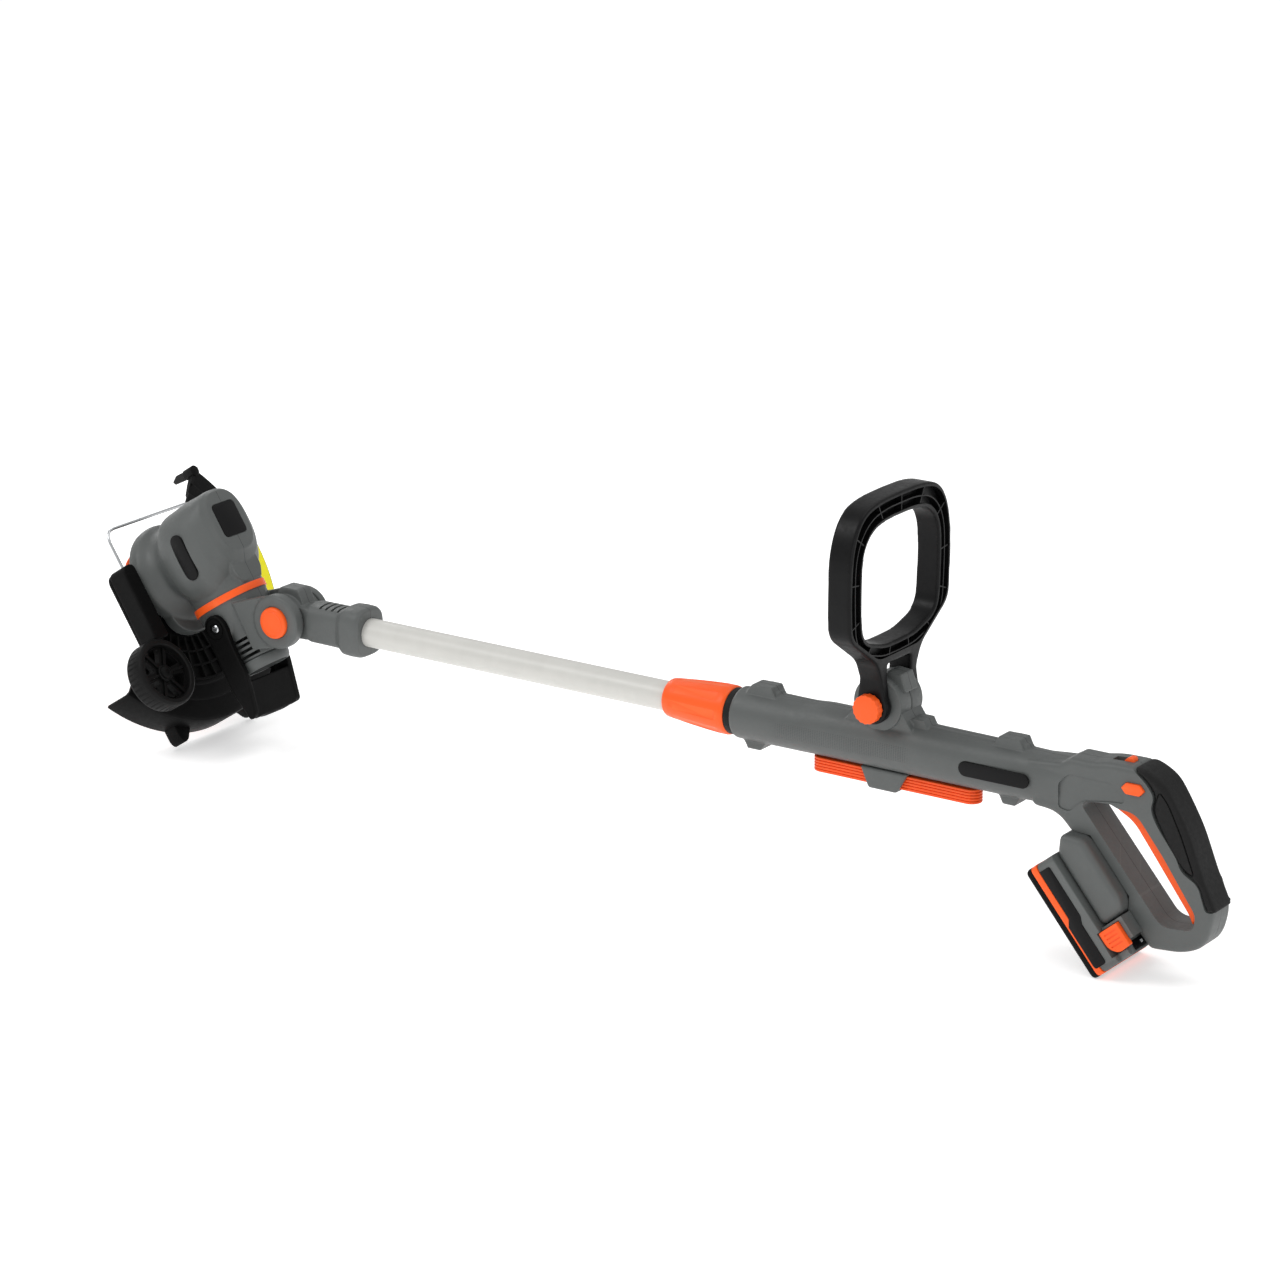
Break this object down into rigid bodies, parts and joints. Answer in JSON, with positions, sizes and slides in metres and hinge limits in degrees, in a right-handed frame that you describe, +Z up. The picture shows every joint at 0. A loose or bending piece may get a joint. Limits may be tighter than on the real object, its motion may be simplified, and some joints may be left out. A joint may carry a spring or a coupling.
{
  "type": "string trimmer",
  "caption": "Battery grass trimmer with a telescopic pole, tilting motor head, half-round guard with edging wheel, loop front handle and D-shaped rear grip.",
  "frame": {"origin": "centre of the footprint of the whole tool at rest, on the floor", "axes": "+X runs along the pole from the motor head to the rear grip, +Z is up, -Y is the side with the edging wheel"},
  "size_m": [1.1262, 0.245, 0.3484],
  "materials": {
    "grey_casing": "fine moulded texture, dark grey",
    "black_casing": "satin moulded black",
    "orange_trim": "satin moulded orange",
    "soft_grip": "matt ribbed soft moulding",
    "pole_tube": "white powder coat",
    "bright_steel": "bright drawn steel",
    "blade_plastic": "tough moulded orange",
    "dark_label": "blank satin label",
    "yellow_sticker": "blank yellow sticker",
    "cell_wrap": "shrink-wrapped cells",
    "circuit_board": "green board"
  },
  "bodies": {
    "handle": {"handle_shell_left": "grey_casing", "handle_shell_right": "grey_casing", "rear_grip_pad": "soft_grip", "battery_dock": "grey_casing", "terminal_block": "black_casing", "handle_badge": "dark_label", "seal_ring": "soft_grip", "collet": "black_casing", "spare_blade_holder": "grey_casing", "control_board": "circuit_board", "microswitch": "black_casing", "trigger_spring": "bright_steel", "handle_screw_1": "bright_steel", "handle_screw_2": "bright_steel", "handle_screw_3": "bright_steel"},
    "trigger": {"trigger": "orange_trim"},
    "lock_off": {"lock_off_button": "orange_trim"},
    "speed_switch": {"speed_switch": "orange_trim"},
    "collar": {"locking_collar": "orange_trim"},
    "guide": {"tube_guide": "black_casing"},
    "pole": {"tube": "pole_tube", "power_cable": "black_casing", "adaptor_left": "grey_casing", "adaptor_right": "grey_casing", "tilt_pivot_pin": "bright_steel"},
    "head": {"motor_housing_left": "grey_casing", "motor_housing_right": "grey_casing", "neck_band": "orange_trim", "head_badge": "dark_label", "rating_label": "dark_label", "vent_ring": "grey_casing", "motor": "bright_steel", "spindle_bearing": "bright_steel", "guard": "black_casing", "guard_sticker": "yellow_sticker", "wheel_arm": "black_casing", "wheel_axle": "black_casing", "plant_guard_guide": "black_casing", "pivot_cap": "grey_casing", "pedal_pin": "bright_steel"},
    "pivot_button": {"pivot_button": "orange_trim"},
    "pedal": {"foot_pedal": "black_casing"},
    "rotor": {"motor_shaft": "bright_steel", "cooling_fan": "black_casing", "cutting_disc": "orange_trim"},
    "blade": {"cutting_blade": "blade_plastic"},
    "wheel": {"wheel": "black_casing"},
    "plant_guard": {"plant_guard_wire": "bright_steel"},
    "loop": {"loop_handle": "black_casing", "loop_bolt": "grey_casing"},
    "loop_knob": {"loop_knob": "orange_trim"},
    "battery": {"battery_case": "grey_casing", "battery_band": "orange_trim", "battery_base": "black_casing", "battery_cells": "cell_wrap", "charge_indicator": "dark_label"},
    "release_left": {"release_button_left": "orange_trim"},
    "release_right": {"release_button_right": "orange_trim"},
    "spare_front": {"spare_blades_front": "blade_plastic"},
    "spare_rear": {"spare_blades_rear": "blade_plastic"}
  },
  "joints": [
    {"name": "trigger_pull", "type": "hinge", "parent": "handle", "child": "trigger", "pos_m": [0.4749, -0.0115, 0.13557], "axis": [0, -1, 0], "range_deg": [0, 4], "stiffness_Nm_per_rad": 0.3, "springref_deg": -5.73},
    {"name": "lock_off_slide", "type": "slide", "parent": "handle", "child": "lock_off", "axis": [0, 1, 0], "range_m": [-0.003, 0.003], "stiffness_N_per_m": 300},
    {"name": "speed_switch_slide", "type": "slide", "parent": "handle", "child": "speed_switch", "axis": [-0.9998, 0, -0.0175], "range_m": [0, 0.008]},
    {"name": "collar_turn", "type": "hinge", "parent": "handle", "child": "collar", "pos_m": [0.08034, -0.0115, 0.13519], "axis": [0.9998, 0, 0.0175], "range_deg": [0, 60]},
    {"name": "pole_slide", "type": "slide", "parent": "handle", "child": "guide", "axis": [0.9998, 0, 0.0175], "range_m": [-0.06, 0.18]},
    {"name": "pole_turn", "type": "hinge", "parent": "guide", "child": "pole", "pos_m": [0.21732, -0.0115, 0.13758], "axis": [0.9998, 0, 0.0175], "range_deg": [0, 90]},
    {"name": "head_tilt", "type": "hinge", "parent": "pole", "child": "head", "pos_m": [-0.34412, -0.0115, 0.12859], "axis": [0, -1, 0], "range_deg": [-20, 57]},
    {"name": "pivot_button_press", "type": "slide", "parent": "head", "child": "pivot_button", "axis": [0, 1, 0], "range_m": [0, 0.003], "stiffness_N_per_m": 500, "springref_m": -0.003},
    {"name": "pedal_press", "type": "hinge", "parent": "head", "child": "pedal", "pos_m": [-0.40726, -0.0115, 0.11132], "axis": [0, 1, 0], "range_deg": [0, 8], "stiffness_Nm_per_rad": 0.8, "springref_deg": -6.88},
    {"name": "spindle_spin", "type": "hinge", "parent": "head", "child": "rotor", "pos_m": [-0.48755, -0.0115, 0.13558], "axis": [0.829, 0, 0.5592], "continuous": true},
    {"name": "blade_swing", "type": "hinge", "parent": "rotor", "child": "blade", "pos_m": [-0.48736, -0.0115, 0.09952], "axis": [0.829, 0, 0.5592], "range_deg": [-75, 75]},
    {"name": "wheel_spin", "type": "hinge", "parent": "head", "child": "wheel", "pos_m": [-0.42816, -0.0915, 0.07793], "axis": [0.829, 0, 0.5592], "continuous": true},
    {"name": "plant_guard_slide", "type": "slide", "parent": "head", "child": "plant_guard", "axis": [-0.5592, 0, 0.829], "range_m": [0, 0.06]},
    {"name": "loop_swing", "type": "hinge", "parent": "handle", "child": "loop", "pos_m": [0.25867, -0.0115, 0.1753], "axis": [0, 1, 0], "range_deg": [-60, 55]},
    {"name": "loop_knob_turn", "type": "hinge", "parent": "loop", "child": "loop_knob", "pos_m": [0.25867, -0.0115, 0.1753], "axis": [0, 1, 0], "range_deg": [-180, 180]},
    {"name": "battery_slide", "type": "slide", "parent": "handle", "child": "battery", "axis": [0.6534, 0, -0.757], "range_m": [0, 0.07]},
    {"name": "release_left_press", "type": "slide", "parent": "battery", "child": "release_left", "axis": [0, 1, 0], "range_m": [0, 0.0025], "stiffness_N_per_m": 400, "springref_m": -0.002},
    {"name": "release_right_press", "type": "slide", "parent": "battery", "child": "release_right", "axis": [0, -1, 0], "range_m": [0, 0.0025], "stiffness_N_per_m": 400, "springref_m": -0.002},
    {"name": "spare_front_slide", "type": "slide", "parent": "handle", "child": "spare_front", "axis": [-0.9998, 0, -0.0175], "range_m": [0, 0.025]},
    {"name": "spare_rear_slide", "type": "slide", "parent": "handle", "child": "spare_rear", "axis": [0.9998, 0, 0.0175], "range_m": [0, 0.02]}
  ]
}
